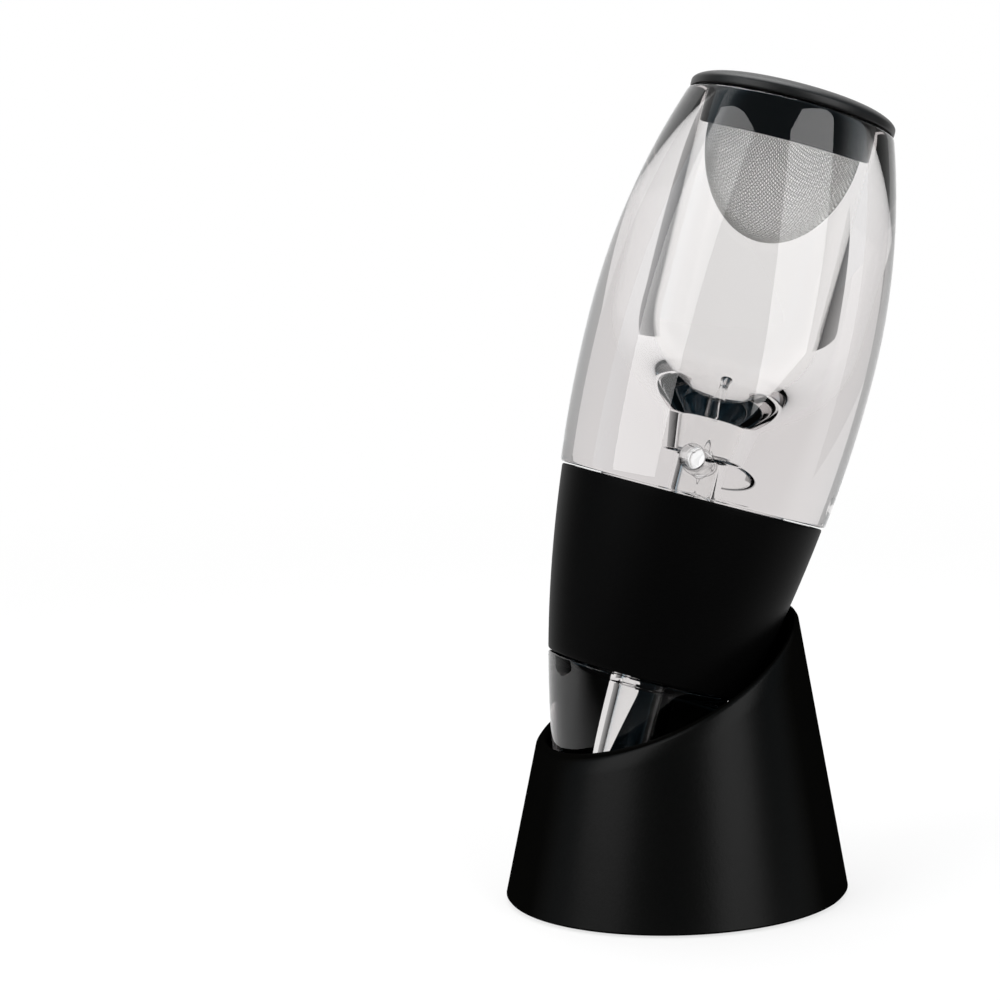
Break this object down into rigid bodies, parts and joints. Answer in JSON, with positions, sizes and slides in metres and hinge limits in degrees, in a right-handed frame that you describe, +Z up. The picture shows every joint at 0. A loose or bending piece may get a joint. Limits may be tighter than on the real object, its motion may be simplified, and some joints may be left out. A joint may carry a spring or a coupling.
{
  "type": "wine aerator",
  "caption": "Clear barrel-shaped pour-through wine aerator with a lift-out strainer and black grip sleeve, leaning in a black slanted conical stand.",
  "frame": {"origin": "middle of the stand's footprint, on the table", "axes": "+Z up, +X towards the stand's high side, the way that the aerator leans, +Y across"},
  "size_m": [0.0779, 0.0646, 0.1538],
  "materials": {
    "clear_acrylic": "polished clear",
    "grip_silicone": "satin",
    "stand_plastic": "satin",
    "cup_plastic": "matte",
    "rim_plastic": "satin",
    "strainer_steel": "woven wire",
    "seal_rubber": "satin",
    "pad_foam": "matte"
  },
  "bodies": {
    "stand": {"stand_shell": "stand_plastic", "drip_cup": "cup_plastic", "foot_pad": "pad_foam"},
    "lower_body": {"lower_spout": "clear_acrylic", "grip_sleeve": "grip_silicone", "joint_seal": "seal_rubber"},
    "chamber": {"upper_chamber": "clear_acrylic"},
    "strainer": {"strainer_rim": "rim_plastic", "strainer_mesh": "strainer_steel"}
  },
  "joints": [
    {"name": "aerator_lift", "type": "slide", "parent": "stand", "child": "lower_body", "axis": [0.2924, 0, 0.9563], "range_m": [0, 0.07]},
    {"name": "chamber_pull", "type": "slide", "parent": "lower_body", "child": "chamber", "axis": [0.2924, 0, 0.9563], "range_m": [0, 0.02]},
    {"name": "strainer_lift", "type": "slide", "parent": "chamber", "child": "strainer", "axis": [0.2924, 0, 0.9563], "range_m": [0, 0.03]}
  ]
}
